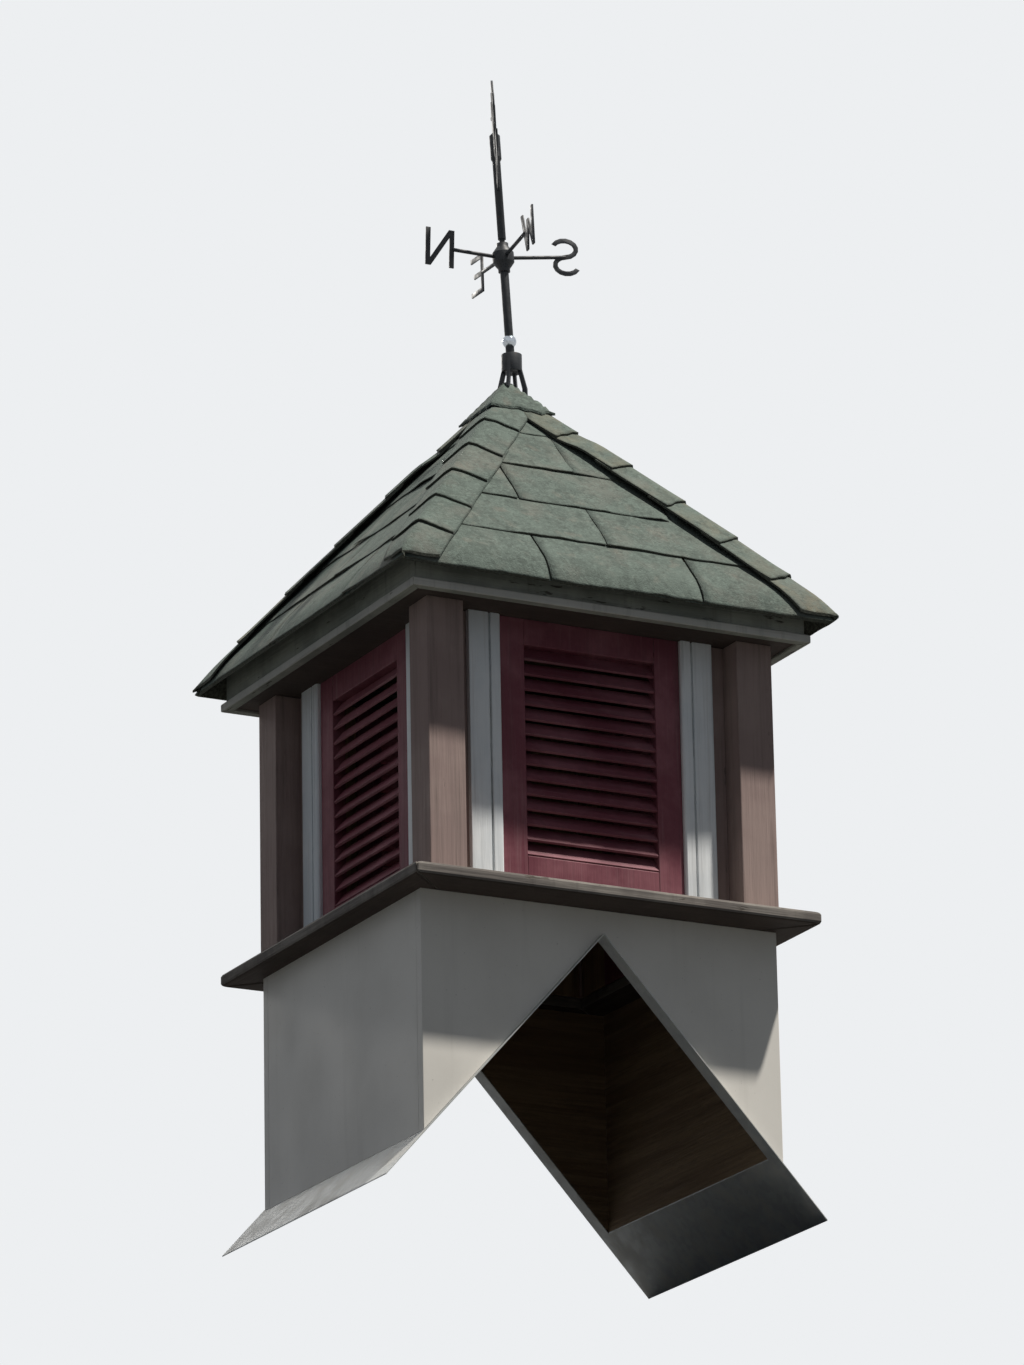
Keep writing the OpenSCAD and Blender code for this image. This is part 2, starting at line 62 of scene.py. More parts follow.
SIDES = {"front": 0, "right": 90, "back": 180, "left": 270}
CORNERS = {"front_left": 0, "front_right": 90, "back_right": 180, "back_left": 270}

# Sizes that the solids are built to
EAVE_HALF = 0.4385
EAVE_Z = 1.083
ROOF_RISE = 0.518
PITCH = math.atan(ROOF_RISE / EAVE_HALF)
SLOPE_L = math.hypot(ROOF_RISE, EAVE_HALF)
HIP_L = math.hypot(SLOPE_L, EAVE_HALF)
LAYER = 0.003
DECK_TOP = -0.008
DECK_T = 0.012
FASCIA_HALF = 0.396
FLOOR_Z = 0.539
STOREY_H = 0.503
LOUVRE_W = 0.36
LOUVRE_T = 0.025
LOUVRE_FACE = 0.2975
APEX_CAP_HALF = 0.066
APEX_Z = EAVE_Z + ROOF_RISE
FIGURE_FOOT = 0.103
FIGURE_H = 0.197
VANE_HEADING = math.radians(62.4)
PLATE_T = 0.004

# Rounding along the edges of what isn't a planed board
SAWN_EDGE = 0.001
SHELF_EDGE = 0.005
TRIM_EDGE = 0.0012
IRON_EDGE = 0.0006
BALL_EDGE = 0.0004

# The camera stands where the photographer stood, in the cupola's own frame
CAMERA = Vector((-5.36, -10.269, -2.766))
CAMERA_AIM = Vector((0.0, 0.0, 1.03))
CAMERA_ROLL = math.radians(-1.1)
CAMERA_LENS = 178.0

# Directions that the lights come from
KEY_FROM = (0.304, -0.272, 0.913)
BACK_FROM = (0.0, 0.92, 0.39)

# Points closer than this are one, faces that turn less are one, and edges that turn more are creases
MERGE = 0.00002
FLAT = math.radians(0.5)
CREASE = math.radians(35)
# Cosines past which a face counts as one that looks in, or down
LOOKS_IN = 0.6
LOOKS_DOWN = 0.9


def linear(hex_code):
    """Linear RGB of an sRGB colour that is written in hex"""
    parts = [int(hex_code[i:i + 2], 16) / 255 for i in (0, 2, 4)]
    return [c / 12.92 if c <= 0.04045 else ((c + 0.055) / 1.055) ** 2.4 for c in parts]


def per_mm(size):
    """Texture scale, in turns per metre, of a feature that is so many millimetres wide"""
    return 1000 / size


# Settings


class CupolaRoof(bpy.types.PropertyGroup):
    course: bpy.props.FloatProperty(
        name="Course height", description="Part of a shingle that shows", default=0.127, unit="LENGTH")
    tab: bpy.props.FloatProperty(
        name="Tab width", description="Distance from slot to slot", default=0.305, unit="LENGTH")
    slot: bpy.props.FloatProperty(
        name="Slot width", description="Gap between two tabs", default=0.005, unit="LENGTH")
    curl: bpy.props.FloatProperty(
        name="Curl", description="Rise of a tab's worst corner", default=0.005, unit="LENGTH")
    sag: bpy.props.FloatProperty(
        name="Sag", description="How far shingles hang down at the eaves", default=0.009, unit="LENGTH")
    front_sag: bpy.props.FloatProperty(
        name="Front sag", description="The same at the front eaves", default=0.016, unit="LENGTH")
    sag_reach: bpy.props.FloatProperty(
        name="Sag reach", description="Reach of the sag up the slope", default=0.066, unit="LENGTH")
    cap_reach: bpy.props.FloatProperty(
        name="Cap reach", description="Reach to each side of the hip", default=0.068, unit="LENGTH")
    cap_lift: bpy.props.FloatProperty(
        name="Cap lift", description="How far lifted caps stand up", default=0.0055, unit="LENGTH")
    cap_spread: bpy.props.FloatProperty(
        name="Cap spread", description="How much more their edges stand up", default=0.002, unit="LENGTH")
    seed: bpy.props.IntProperty(
        name="Seed", description="Start of the shingles' random draws", default=7)
    cap_seed: bpy.props.IntProperty(
        name="Cap seed", description="Start of the caps' random draws", default=47)


class CupolaWood(bpy.types.PropertyGroup):
    edge: bpy.props.FloatProperty(
        name="Eased edge", description="Rounding along a board's edges", default=0.0016, unit="LENGTH")
    stile: bpy.props.FloatProperty(
        name="Stile width", description="Width of a louvre's stile", default=0.05, unit="LENGTH")
    bottom_rail: bpy.props.FloatProperty(
        name="Bottom rail", description="Height of a louvre's bottom rail", default=0.068, unit="LENGTH")
    top_rail: bpy.props.FloatProperty(
        name="Top rail", description="Height of a louvre's top rail", default=0.048, unit="LENGTH")
    slat_pitch: bpy.props.FloatProperty(
        name="Slat pitch", description="Distance from slat to slat", default=0.027, unit="LENGTH")
    slat_w: bpy.props.FloatProperty(
        name="Slat width", description="Width of a slat", default=0.033, unit="LENGTH")
    slat_t: bpy.props.FloatProperty(
        name="Slat thickness", description="Thickness of a slat", default=0.005, unit="LENGTH")
    slat_slope: bpy.props.FloatProperty(
        name="Slat slope", description="Slope of the slats", default=math.radians(52), subtype="ANGLE")
    seed: bpy.props.IntProperty(
        name="Seed", description="Start of the slats' random draws", default=11)


class CupolaColours(bpy.types.PropertyGroup):
    cream: bpy.props.FloatVectorProperty(
        name="Cream", description="Painted sheet of the base", default=linear("DEDBD4"), subtype="COLOR")
    weathered: bpy.props.FloatVectorProperty(
        name="Weathered grey", description="Paint of the shelf", default=linear("6C6763"), subtype="COLOR")
    brown: bpy.props.FloatVectorProperty(
        name="Brown", description="Posts and wall boards", default=linear("94817C"), subtype="COLOR")
    maroon: bpy.props.FloatVectorProperty(
        name="Maroon", description="Louvres", default=linear("65353F"), subtype="COLOR")
    white: bpy.props.FloatVectorProperty(
        name="White", description="Trim strips", default=linear("E6E9EA"), subtype="COLOR")
    shingle: bpy.props.FloatVectorProperty(
        name="Shingles", description="Mean of the granules", default=linear("545E58"), subtype="COLOR")
    iron: bpy.props.FloatVectorProperty(
        name="Black iron", description="Weather vane", default=linear("191C20"), subtype="COLOR")


class CupolaStudio(bpy.types.PropertyGroup):
    floor: bpy.props.FloatProperty(
        name="Floor size", description="Width of the floor", default=60, unit="LENGTH")
    key: bpy.props.FloatProperty(
        name="Key light", description="Strength of the key light", default=6.2)
    key_soft: bpy.props.FloatProperty(
        name="Key softness", description="Angle that the key light fills", default=math.radians(2),
        subtype="ANGLE")
    back: bpy.props.FloatProperty(
        name="Back light", description="Strength of light from behind", default=0.8)
    fill: bpy.props.FloatProperty(
        name="Fill light", description="Strength of light all round", default=0.18)
    backdrop: bpy.props.FloatVectorProperty(
        name="Backdrop", description="Colour behind the cupola", default=linear("EDEFF1"), subtype="COLOR")


# Materials


def add(tree, kind, feeds=None, **settings):
    """Adds a node with its settings; feeds gives each input a value or the socket that drives it"""
    node = tree.nodes.new(kind)
    for name, value in settings.items():
        setattr(node, name, value)
    for key, value in (feeds or {}).items():
        if isinstance(value, bpy.types.NodeSocket):
            tree.links.new(value, node.inputs[key])
        else:
            node.inputs[key].default_value = value
    return node


def rgba(colour):
    """A colour with full alpha, from a hex code or three linear values"""
    return (*(linear(colour) if isinstance(colour, str) else colour), 1.0)


# Sockets of a Mix node that mixes colours
FACTOR, FIRST, SECOND, MIXED = 0, 6, 7, 2


def laid_over(tree, ground, *coats):
    """Colour of a ground with other colours laid over it in turn, each through its mask"""
    ground = rgba(ground)
    for mask, colour in coats:
        feeds = {FACTOR: mask, FIRST: ground, SECOND: rgba(colour)}
        ground = add(tree, "ShaderNodeMix", feeds, data_type="RGBA").outputs[MIXED]
    return ground


def patches(tree, place, size, low, high, most=1.0, detail=4.0, along=None, length=None):
    """Mask of patches so many millimetres wide, and so long where they run along a board

    The mask runs from 0 to most while the noise, which is 0.5 on average, runs from low to high."""
    scale = [per_mm(size)] * 3
    if along:
        scale["XYZ".index(along)] = per_mm(length)
    sized = add(tree, "ShaderNodeMapping", {"Vector": place, "Scale": scale}).outputs["Vector"]
    feeds = {"Vector": sized, "Scale": 1.0, "Detail": detail, "Roughness": 0.6}
    cloud = add(tree, "ShaderNodeTexNoise", feeds).outputs["Fac"]
    feeds = {"Value": cloud, "From Min": low, "From Max": high, "To Max": most}
    return add(tree, "ShaderNodeMapRange", feeds, interpolation_type="SMOOTHSTEP").outputs["Result"]


def worn_edges(tree, radius, where):
    """Mask along a board's edges, from how far a rounded edge would turn, kept to some patches"""
    rounded = add(tree, "ShaderNodeBevel", {"Radius": radius}, samples=6).outputs["Normal"]
    flat = add(tree, "ShaderNodeNewGeometry").outputs["Normal"]
    alike = add(tree, "ShaderNodeVectorMath", {0: rounded, 1: flat}, operation="DOT_PRODUCT")
    feeds = {"Value": alike.outputs["Value"], "From Min": 0.97, "From Max": 0.80}
    edges = add(tree, "ShaderNodeMapRange", feeds).outputs["Result"]
    return add(tree, "ShaderNodeMath", {0: edges, 1: where}, operation="MULTIPLY").outputs[0]


def finish(name, roughness, **fixed):
    """A new material with its tree, its shader and the object's coordinates"""
    material = bpy.data.materials.new(name)
    material.use_nodes = True
    tree = material.node_tree
    shader = tree.nodes["Principled BSDF"]
    shader.inputs["Roughness"].default_value = roughness
    for key, value in fixed.items():
        shader.inputs[key.replace("_", " ")].default_value = value
    place = add(tree, "ShaderNodeTexCoord").outputs["Object"]
    return material, tree, shader, place


def surfaced(tree, shader, colour, dull, smooth, rough, relief, depth):
    """Gives a shader its colour, a roughness that follows a mask, and a relief so many mm deep"""
    tree.links.new(colour, shader.inputs["Base Color"])
    feeds = {"Value": dull, "To Min": smooth, "To Max": rough}
    tree.links.new(add(tree, "ShaderNodeMapRange", feeds).outputs["Result"], shader.inputs["Roughness"])
    bump = add(tree, "ShaderNodeBump", {"Height": relief, "Distance": depth / 1000, "Strength": 0.6})
    tree.links.new(bump.outputs["Normal"], shader.inputs["Normal"])


def painted_wood(name, along, coat, faded, bare, smooth, chips, gloss=0.08):
    """House paint brushed on softwood: it fades in patches, shows the fibres and wears off the edges"""
    material, tree, shader, place = finish(name, smooth, Specular_IOR_Level=gloss)
    fibres = patches(tree, place, 7, 0.30, 0.70, along=along, length=160)
    thin = patches(tree, place, 9, 0.50, 0.78, 0.4, along=along, length=260)
    fade = patches(tree, place, 140, 0.40, 0.66)
    chipped = patches(tree, place, 11, chips, chips + 0.04, along=along, length=70)
    edges = worn_edges(tree, 0.0025, patches(tree, place, 24, 0.42, 0.58))
    gone = add(tree, "ShaderNodeMath", {0: chipped, 1: edges}, operation="MAXIMUM").outputs[0]
    grime = patches(tree, place, 18, 0.50, 0.82, 0.35, along="Z", length=420)
    colour = laid_over(tree, coat, (fade, faded), (thin, bare), (gone, bare), (grime, "3C3A36"))
    skin = add(tree, "ShaderNodeMath", {0: fibres, 1: gone}, operation="SUBTRACT").outputs[0]
    surfaced(tree, shader, colour, gone, smooth, 0.88, skin, 0.6)
    return material


@functools.cache
def weathered_boards(along):
    """Grey exterior paint brushed on pine and left for many years: matt, cracked along the grain"""
    coat = bpy.context.scene.cupola_colours.weathered
    return painted_wood(f"weathered_grey_paint_{along}", along, coat, "85807A", "59534D", 0.78, 0.64)


@functools.cache
def fascia_boards(along):
    """The same grey paint where the eaves keep it wet: darker and greenish, flaking along the grain"""
    return painted_wood(f"damp_grey_paint_{along}", along, "8A8E86", "A6A99F", "5B5952", 0.74, 0.64)


@functools.cache
def drip_mouldings(along):
    """The moulding at the foot of the fascia, in a paler grey paint than the fascia"""
    return painted_wood(f"pale_grey_paint_{along}", along, "C0BFB7", "CAC8C0", "8A8478", 0.70, 0.68)


@functools.cache
def painted_shade_boards(along):
    """Dark brown stain on pine, dry and dusty, out of the sun, and painted shade: darker than the wood,
    for the deep shade under the eaves and under the shelf
    """
    return painted_wood(f"dark_stain_painted_shade_{along}", along, "3C3531", "463E39", "4C453F", 0.80, 0.74)


@functools.cache
def brown_boards():
    """Thin brown house paint on pine, faded to taupe by the sun"""
    coat = bpy.context.scene.cupola_colours.brown
    return painted_wood("faded_brown_paint", "Z", coat, "9E8B85", "6E645E", 0.72, 0.70, 0.12)


@functools.cache
def maroon_boards(along):
    """Maroon alkyd enamel brushed on pine: still smooth, chalked to a dull rose in patches"""
    coat = bpy.context.scene.cupola_colours.maroon
    return painted_wood(f"maroon_enamel_{along}", along, coat, "82525A", "906F73", 0.56, 0.72, 0.15)


@functools.cache
def white_boards():
    """White acrylic paint brushed on milled trim: clean, slightly glossy"""
    coat = bpy.context.scene.cupola_colours.white
    return painted_wood("white_acrylic_paint", "Z", coat, "DADFE2", "B4B2AC", 0.42, 0.76, 0.3)


@functools.cache
def bare_boards(along):
    """Unpainted sawn pine that has browned in the air: matt, with open fibres and darker rings"""
    material, tree, shader, place = finish(f"bare_pine_{along}", 0.86)
    fibres = patches(tree, place, 5, 0.30, 0.70, along=along, length=120)
    rings = patches(tree, place, 26, 0.35, 0.65, along=along, length=700)
    streaks = patches(tree, place, 6, 0.45, 0.75, 0.5, along=along, length=150)
    colour = laid_over(tree, "8B7458", (rings, "6A543C"), (streaks, "4E3D2C"))
    surfaced(tree, shader, colour, fibres, 0.82, 0.92, fibres, 0.5)
    return material


@functools.cache
def cream_sheet():
    """Coil-coated aluminium sheet, cream: smooth and satin, slightly wavy, with faint run-off streaks"""
    material, tree, shader, place = finish("cream_coated_sheet", 0.45, Specular_IOR_Level=0.18)
    dust = patches(tree, place, 150, 0.35, 0.75, 0.25, 5.0)
    runs = patches(tree, place, 30, 0.55, 0.90, 0.22, along="Z", length=600)
    specks = patches(tree, place, 6, 0.70, 0.78, 0.35, 2.0)
    cream = bpy.context.scene.cupola_colours.cream
    colour = laid_over(tree, cream, (dust, "C2BEB6"), (runs, "99958D"), (specks, "77726A"))
    waves = patches(tree, place, 280, 0.2, 0.8, detail=1.0)
    surfaced(tree, shader, colour, dust, 0.42, 0.80, waves, 5)
    return material


@functools.cache
def zinc_sheet():
    """Hot-dip galvanised steel sheet left outdoors: pale, dull, with spangles under a white bloom"""
    material, tree, shader, place = finish("galvanised_sheet", 0.6, Metallic=0.3)
    feeds = {"Vector": place, "Scale": per_mm(12), "Randomness": 1.0}
    spangle = add(tree, "ShaderNodeTexVoronoi", feeds).outputs["Color"]
    shade = add(tree, "ShaderNodeSeparateColor", {"Color": spangle}).outputs["Red"]
    bloom = patches(tree, place, 45, 0.42, 0.66, 0.75, 5.0)
    colour = laid_over(tree, "9FA2A1", (shade, "939696"), (bloom, "A9A8A3"))
    waves = patches(tree, place, 90, 0.2, 0.8, detail=1.0)
    surfaced(tree, shader, colour, bloom, 0.55, 0.80, waves, 0.5)
    return material


@functools.cache
def mineral_shingles():
    """Ceramic granules rolled into asphalt felt: grey-green, matt and gritty, bleached in warm patches

    The granules are about 1.5 mm wide; they are drawn at 3 mm so that they show."""
    material, tree, shader, place = finish("mineral_shingles", 0.93, Specular_IOR_Level=0.2)
    green = Vector(bpy.context.scene.cupola_colours.shingle)
    tone = add(tree, "ShaderNodeAttribute", attribute_name="tone").outputs["Fac"]
    rise = add(tree, "ShaderNodeAttribute", attribute_name="rise").outputs["Fac"]
    cells = add(tree, "ShaderNodeTexVoronoi", {"Vector": place, "Scale": per_mm(3)})
    grain = add(tree, "ShaderNodeSeparateColor", {"Color": cells.outputs["Color"]})
    feeds = {"Value": grain.outputs["Green"], "From Min": 0.88, "From Max": 0.92, "To Max": 0.5}
    dark = add(tree, "ShaderNodeMapRange", feeds).outputs["Result"]
    feeds = {"Value": tone, "From Min": -1, "From Max": 1, "To Max": 0.55}
    pale = add(tree, "ShaderNodeMapRange", feeds).outputs["Result"]
    warm = patches(tree, place, 60, 0.36, 0.64, 0.75)
    feeds = {"Value": tone, "From Min": 1, "From Max": 3, "To Max": warm}
    bleached = add(tree, "ShaderNodeMapRange", feeds).outputs["Result"]
    ragged = patches(tree, place, 16, 0.3, 0.7, 0.02)
    height = add(tree, "ShaderNodeMath", {0: rise, 1: ragged}, operation="SUBTRACT").outputs[0]
    feeds = {"Value": height, "From Min": 0.012, "From Max": -0.012, "To Max": 0.4}
    foot = add(tree, "ShaderNodeMapRange", feeds).outputs["Result"]
    colour = laid_over(
        tree, green * 0.68, (grain.outputs["Red"], green * 1.34), (dark, "3A3F39"), (pale, green * 1.18),
        (patches(tree, place, 24, 0.42, 0.60, 0.55), green * 0.60),
        (patches(tree, place, 48, 0.50, 0.66, 0.45), green * 1.40),
        (patches(tree, place, 140, 0.48, 0.66, 0.36, 5.0), "706D66"),
        (patches(tree, place, 40, 0.58, 0.70, 0.30), "6E665D"), (bleached, "716D5E"),
        (patches(tree, place, 10, 0.53, 0.65, 0.40), green * 1.60),
        (patches(tree, place, 13, 0.54, 0.66, 0.45), green * 0.50), (foot, "3C4039"))
    feeds = {0: 1.0, 1: cells.outputs["Distance"]}
    gritty = add(tree, "ShaderNodeMath", feeds, operation="SUBTRACT").outputs[0]
    surfaced(tree, shader, colour, dark, 0.93, 0.85, gritty, 1.2)
    return material


@functools.cache
def asphalt_core():
    """Oxidised asphalt at the cut edges and on the back of a shingle: dark and dull, dusted with sand"""
    material, tree, shader, place = finish("asphalt_core", 0.8, Specular_IOR_Level=0.2)
    sand = patches(tree, place, 5, 0.40, 0.65)
    surfaced(tree, shader, laid_over(tree, "34362F", (sand, "565950")), sand, 0.75, 0.95, sand, 0.5)
    return material


@functools.cache
def black_iron():
    """Wrought iron under black stove enamel: satin, slightly dimpled, rusting where it has chipped"""
    material, tree, shader, place = finish("black_painted_iron", 0.5, Specular_IOR_Level=0.3)
    dull = patches(tree, place, 18, 0.30, 0.75)
    chips = patches(tree, place, 7, 0.66, 0.70)
    edges = worn_edges(tree, 0.0015, patches(tree, place, 14, 0.48, 0.62))
    rusted = add(tree, "ShaderNodeMath", {0: chips, 1: edges}, operation="MAXIMUM").outputs[0]
    weak = add(tree, "ShaderNodeMath", {0: rusted, 1: 0.7}, operation="MULTIPLY").outputs[0]
    colour = laid_over(tree, bpy.context.scene.cupola_colours.iron, (dull, "24282D"), (weak, "4A3226"))
    surfaced(tree, shader, colour, dull, 0.42, 0.70, dull, 0.4)
    return material


@functools.cache
def polished_steel():
    """Spun stainless steel, polished to a mirror and filmed with dust in patches"""
    material, tree, shader, place = finish("polished_steel", 0.1, Metallic=1.0)
    dust = patches(tree, place, 6, 0.45, 0.75)
    surfaced(tree, shader, laid_over(tree, "AEB4BB", (dust, "8B9197")), dust, 0.05, 0.30, dust, 0.1)
    return material


# Helpers for pieces


def piece(name, bm, materials, body="cupola", replaces=(), sharp=None):
    """Turns a bmesh into a finished piece that rides on a body"""
    mesh = bpy.data.meshes.new(name)
    bm.to_mesh(mesh)
    bm.free()
    for material in materials:
        mesh.materials.append(material)
    if sharp is not None:
        mesh.shade_smooth()
        mesh.set_sharp_from_angle(angle=sharp)
    made = bpy.data.objects.new(name, mesh)
    bpy.context.scene.collection.objects.link(made)
    if replaces:
        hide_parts(*replaces)
    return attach(made, body)


def eased(bm, edges, radius):
    """Rounds some edges slightly"""
    bmesh.ops.bevel(bm, geom=edges, offset=radius, offset_type="OFFSET", affect="EDGES", segments=2,
                    profile=0.5, material=-1, clamp_overlap=True)


def whole_copy(node):
    """A node's solid with its triangles merged into whole faces"""
    bm = bmesh.new()
    bm.from_mesh(NODES[node].data)
    bmesh.ops.remove_doubles(bm, verts=bm.verts, dist=MERGE)
    bmesh.ops.dissolve_limit(bm, angle_limit=FLAT, verts=bm.verts, edges=bm.edges)
    return bm


def dressed(node, edge, materials, inner=False, under=False, proud=None, body="cupola", sharp=None):
    """Replaces a node by a copy with eased edges

    Inner faces, those that look down or those that stand proud take the second material."""
    bm = whole_copy(node)
    corners = [e for e in bm.edges if e.is_manifold and e.is_convex and e.calc_face_angle() > CREASE]
    eased(bm, corners, edge)
    for face in bm.faces:
        level = face.calc_center_median()
        level.z = 0
        looks_in = inner and face.normal.dot(-level.normalized()) > LOOKS_IN
        # Faces that look down take the second material, which on the shelf is painted shade
        looks_down = under and -face.normal.z > LOOKS_DOWN
        stands_out = proud and max(abs(level.x), abs(level.y)) > proud
        if looks_in or looks_down or stands_out:
            face.material_index = 1
    return piece(f"{node}_dressed", bm, materials, body, (node,), sharp)


def bar(bm, middle, size, edge, turn=None):
    """Adds a board of a size round a middle point, tilted by a matrix, with eased edges"""
    tilt = turn or Matrix.Identity(4)
    place = Matrix.Translation(middle) @ tilt @ Matrix.Diagonal((*size, 1.0))
    corners = bmesh.ops.create_cube(bm, size=1.0, matrix=place)["verts"]
    eased(bm, list({e for v in corners for e in v.link_edges}), edge)


def turned(bm, degrees):
    """Turns everything in a bmesh round the cupola's axis"""
    turn = Matrix.Rotation(math.radians(degrees), 3, "Z")
    bmesh.ops.rotate(bm, verts=bm.verts, cent=(0, 0, 0), matrix=turn)


def facing_out(bm):
    """Points the faces of every closed shape outwards"""
    bmesh.ops.recalc_face_normals(bm, faces=bm.faces)


def level_grain(side):
    """Axis along which the level boards of a side run"""
    return "X" if side in ("front", "back") else "Y"


# Base, shelf, posts, walls, trim and eaves


class CUPOLA_OT_base(bpy.types.Operator):
    """Sheet-covered base panels, bare inside, and the flashing under them"""

    bl_idname = "cupola.base"
    bl_label = "Base and flashing"

    def execute(self, context):
        for side in SIDES:
            skins = [cream_sheet(), bare_boards(level_grain(side))]
            dressed(f"base_{side}", SAWN_EDGE, skins, inner=True)
        for node in ("flashing_front", "flashing_back", "apron_left", "apron_right"):
            for slot in NODES[node].material_slots:
                slot.material = zinc_sheet()
        return {"FINISHED"}


class CUPOLA_OT_shelf(bpy.types.Operator):
    """Four mitred boards of the shelf"""

    bl_idname = "cupola.shelf"
    bl_label = "Shelf"

    def execute(self, context):
        for side in SIDES:
            along = level_grain(side)
            # The shelf's underside takes painted shade: the dark stain stands for the shade beneath it
            paints = [weathered_boards(along), painted_shade_boards(along)]
            dressed(f"shelf_{side}", SHELF_EDGE, paints, under=True)
        return {"FINISHED"}


class CUPOLA_OT_storey(bpy.types.Operator):
    """Corner posts, wall boards and white trim strips"""

    bl_idname = "cupola.storey"
    bl_label = "Posts, walls and trim"

    def execute(self, context):
        edge = context.scene.cupola_wood.edge
        for corner in CORNERS:
            dressed(f"post_{corner}", edge, [brown_boards()])
        for side in SIDES:
            paints = [brown_boards(), bare_boards("Z")]
            dressed(f"wall_{side}", edge, paints, inner=True)
            paints = [white_boards(), bare_boards("Z")]
            dressed(f"trim_{side}", TRIM_EDGE, paints, inner=True)
        return {"FINISHED"}


class CUPOLA_OT_louvres(bpy.types.Operator):
    """Louvres: two stiles and two rails with loose slats between them"""

    bl_idname = "cupola.louvres"
    bl_label = "Louvres"

    def execute(self, context):
        wood = context.scene.cupola_wood
        draw = random.Random(wood.seed)
        for side, degrees in SIDES.items():
            self.frame_boards(side, degrees, wood)
            self.slats(side, degrees, wood, draw)
        return {"FINISHED"}

    def frame_boards(self, side, degrees, wood):
        """The four boards of one louvre frame, with the rails a little thinner than the stiles"""
        bm = bmesh.new()
        rail_t = LOUVRE_T - 0.0008
        middle_y = -LOUVRE_FACE + LOUVRE_T / 2
        middle_z = FLOOR_Z + STOREY_H / 2
        inner = LOUVRE_W - 2 * wood.stile
        for hand in (-1, 1):
            x = hand * (LOUVRE_W - wood.stile) / 2
            bar(bm, (x, middle_y, middle_z), (wood.stile, LOUVRE_T, STOREY_H), wood.edge)
        for height, z in ((wood.bottom_rail, FLOOR_Z + wood.bottom_rail / 2),
                          (wood.top_rail, FLOOR_Z + STOREY_H - wood.top_rail / 2)):
            bar(bm, (0, middle_y, z), (inner, rail_t, height), wood.edge)
        turned(bm, degrees)
        piece(f"louvre_{side}_frame", bm, [maroon_boards("Z")],
              replaces=(f"louvre_{side}",))

    def slats(self, side, degrees, wood, draw):
        """The sloping slats of one louvre, lower at the outer edge, the end ones let into the rails"""
        bm = bmesh.new()
        let_in, off_pitch, off_slope = 0.001, 0.0004, math.radians(0.8)
        space = STOREY_H - wood.bottom_rail - wood.top_rail
        rise = wood.slat_w * math.sin(wood.slat_slope) + wood.slat_t * math.cos(wood.slat_slope)
        rise -= let_in
        gaps = round((space - rise) / wood.slat_pitch)
        size = (LOUVRE_W - 2 * wood.stile, wood.slat_w, wood.slat_t)
        for i in range(gaps + 1):
            slope = wood.slat_slope + draw.uniform(-off_slope, off_slope)
            z = FLOOR_Z + wood.bottom_rail + rise / 2 + (space - rise) * i / gaps
            middle = (0, -LOUVRE_FACE + LOUVRE_T / 2, z + draw.uniform(-off_pitch, off_pitch))
            bar(bm, middle, size, wood.edge / 2, Matrix.Rotation(slope, 4, "X"))
        turned(bm, degrees)
        piece(f"louvre_{side}_slats", bm, [maroon_boards(level_grain(side))],
              replaces=(f"louvre_{side}",))


class CUPOLA_OT_eaves(bpy.types.Operator):
    """Soffit, and fascia boards with their drip moulding"""

    bl_idname = "cupola.eaves"
    bl_label = "Eaves"

    def execute(self, context):
        # The soffit takes painted shade: a dark stain for the shade under the eaves
        dressed("soffit", SAWN_EDGE, [painted_shade_boards("X")])
        edge = context.scene.cupola_wood.edge
        moulding_from = FASCIA_HALF - 0.005
        for side in SIDES:
            along = level_grain(side)
            paints = [fascia_boards(along), drip_mouldings(along)]
            dressed(f"fascia_{side}", edge, paints, proud=moulding_from)
        return {"FINISHED"}


# Roof


# Cosine of the angle between a hip's own outward direction and the slopes beside it
HIP_TILT = math.sqrt((1 + math.cos(PITCH) ** 2) / 2)
CAP_T = 0.0028
LIFTED = ("front_right", "back_left")
# Where one slot of each course is across the front slope, from the eaves up, and how far its slots
# are open, and how far off that the slots of the other slopes may be
SLOTS = ((0.163, 1.0), (0.012, 0.35), (-0.120, 0.8), (0.031, 0.2), (-0.098, 0.5))
SLOT_SHIFT = 0.04

# How far old shingles stray from their true shape
BUTT_WANDER = 0.003
SIDE_RAGS = 0.0016
TAB_SKEW = 0.002
TAB_LEAN = 0.004
SWELL = 0.0018
LOOSE_EDGE = 0.0004
# How far up a shingle its uneven edge, its curl and its sealed edge reach
UNEVEN_REACH = 0.04
CURL_REACH = 0.03
SEALED_REACH = 0.012
# No tab curls closer than this to a cap
CAP_HOLDS = 0.02

# How far old caps stray, and how much the lowest ones flare at their feet, from the eaves up
CAP_SKEW = 0.004
CAP_WANDER = 0.004
CAP_RAGS = 0.003
CAP_FLARES = (0.0040, 0.0018, 0.0005)
# Lengths of a hip in which lifted caps rise and go down again, and that lie flat below the apex
LIFT_STARTS = 0.34
LIFT_ENDS = 0.06
LIES_FLAT = 0.17
# Rounding of the fold along the hip
FOLD_DROP = 0.0025
FOLD_W = 0.009


def slope_place(degrees):
    """Matrix from eave, upslope and outward distances to the slope on one side"""
    lie = Matrix.Translation((0, -EAVE_HALF, EAVE_Z)) @ Matrix.Rotation(PITCH, 4, "X")
    return Matrix.Rotation(math.radians(degrees), 4, "Z") @ lie


def cut_outside(bm, point, outward, material=0):
    """Cuts off what lies beyond a plane and closes the cut"""
    whole = [*bm.verts, *bm.edges, *bm.faces]
    bmesh.ops.bisect_plane(bm, geom=whole, plane_co=point, plane_no=outward, clear_outer=True)
    rims = [e for e in bm.edges if e.is_boundary]
    for face in bmesh.ops.holes_fill(bm, edges=rims, sides=0)["faces"]:
        face.material_index = material


